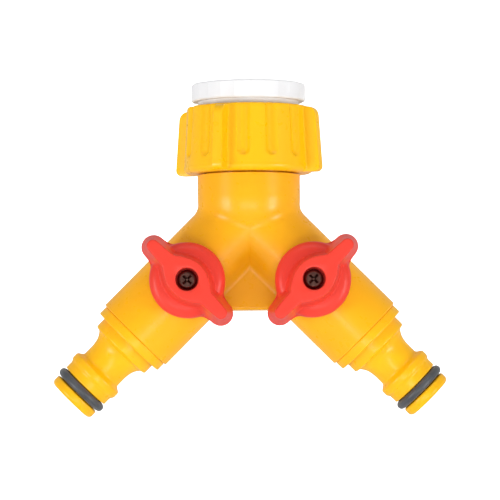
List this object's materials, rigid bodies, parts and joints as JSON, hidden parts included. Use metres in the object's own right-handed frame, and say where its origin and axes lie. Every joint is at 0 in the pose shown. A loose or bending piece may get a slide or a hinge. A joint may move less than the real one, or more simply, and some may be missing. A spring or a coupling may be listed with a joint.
{
  "type": "hose splitter",
  "caption": "Y-shaped tap fitting: a swivel nut with a screw-in reducer feeds legs with quarter-turn valves that end in push-on hose spigots.",
  "frame": {"origin": "centre of the reducer's mouth, on the plane of its end face", "axes": "+Z out of the threaded inlet, towards the tap; +X towards the right leg; -Y towards the valve knobs"},
  "size_m": [0.1176, 0.0473, 0.0996],
  "materials": {
    "body_plastic": "smooth satin-gloss moulded plastic, yellow",
    "nut_plastic": "smooth satin-gloss moulded plastic, yellow",
    "spigot_plastic": "smooth satin-gloss moulded plastic, yellow",
    "reducer_plastic": "fine matte moulded plastic, white",
    "knob_plastic": "fine satin moulded plastic, red",
    "seal_rubber": "black rubber",
    "o_ring_rubber": "dark grey rubber, slightly glossy",
    "washer_rubber": "black rubber, flat",
    "seat_plastic": "white low-friction plastic",
    "ball_plastic": "polished white plastic",
    "stem_plastic": "black plastic",
    "screw_steel": "plain steel screw"
  },
  "bodies": {
    "body": {"y_body": "body_plastic", "inlet_tailpiece": "body_plastic", "tailpiece_seal": "seal_rubber", "left_stem_bush": "body_plastic", "left_upstream_seat": "seat_plastic", "left_downstream_seat": "seat_plastic", "left_outlet_spigot": "spigot_plastic", "left_spigot_seal": "seal_rubber", "left_outlet_o_ring": "o_ring_rubber", "right_stem_bush": "body_plastic", "right_upstream_seat": "seat_plastic", "right_downstream_seat": "seat_plastic", "right_outlet_spigot": "spigot_plastic", "right_spigot_seal": "seal_rubber", "right_outlet_o_ring": "o_ring_rubber"},
    "nut": {"swivel_nut": "nut_plastic"},
    "washers": {"inlet_washer": "washer_rubber"},
    "reducer": {"thread_reducer": "reducer_plastic", "reducer_washer": "washer_rubber"},
    "left_valve": {"left_valve_knob": "knob_plastic", "left_knob_screw": "screw_steel", "left_valve_stem": "stem_plastic", "left_stem_o_ring": "seal_rubber", "left_valve_ball": "ball_plastic"},
    "right_valve": {"right_valve_knob": "knob_plastic", "right_knob_screw": "screw_steel", "right_valve_stem": "stem_plastic", "right_stem_o_ring": "seal_rubber", "right_valve_ball": "ball_plastic"}
  },
  "joints": [
    {"name": "nut_swivel", "type": "hinge", "parent": "body", "child": "nut", "pos_m": [0, 0, -0.024], "axis": [0, 0, 1], "continuous": true},
    {"name": "reducer_rise", "type": "slide", "parent": "nut", "child": "washers", "axis": [0, 0, 1], "range_m": [0, 0.01039]},
    {"name": "reducer_unscrew", "type": "hinge", "parent": "washers", "child": "reducer", "pos_m": [0, 0, -0.01], "axis": [0, 0, 1], "range_deg": [0, 1620]},
    {"name": "left_valve_turn", "type": "hinge", "parent": "body", "child": "left_valve", "pos_m": [-0.01853, 0, -0.05933], "axis": [0, -1, 0], "range_deg": [0, 90]},
    {"name": "right_valve_turn", "type": "hinge", "parent": "body", "child": "right_valve", "pos_m": [0.01853, 0, -0.05933], "axis": [0, -1, 0], "range_deg": [0, 90]}
  ],
  "couplings": [
    {"joint": "reducer_unscrew", "follows": "reducer_rise", "rad_per_m": 2721.2}
  ]
}
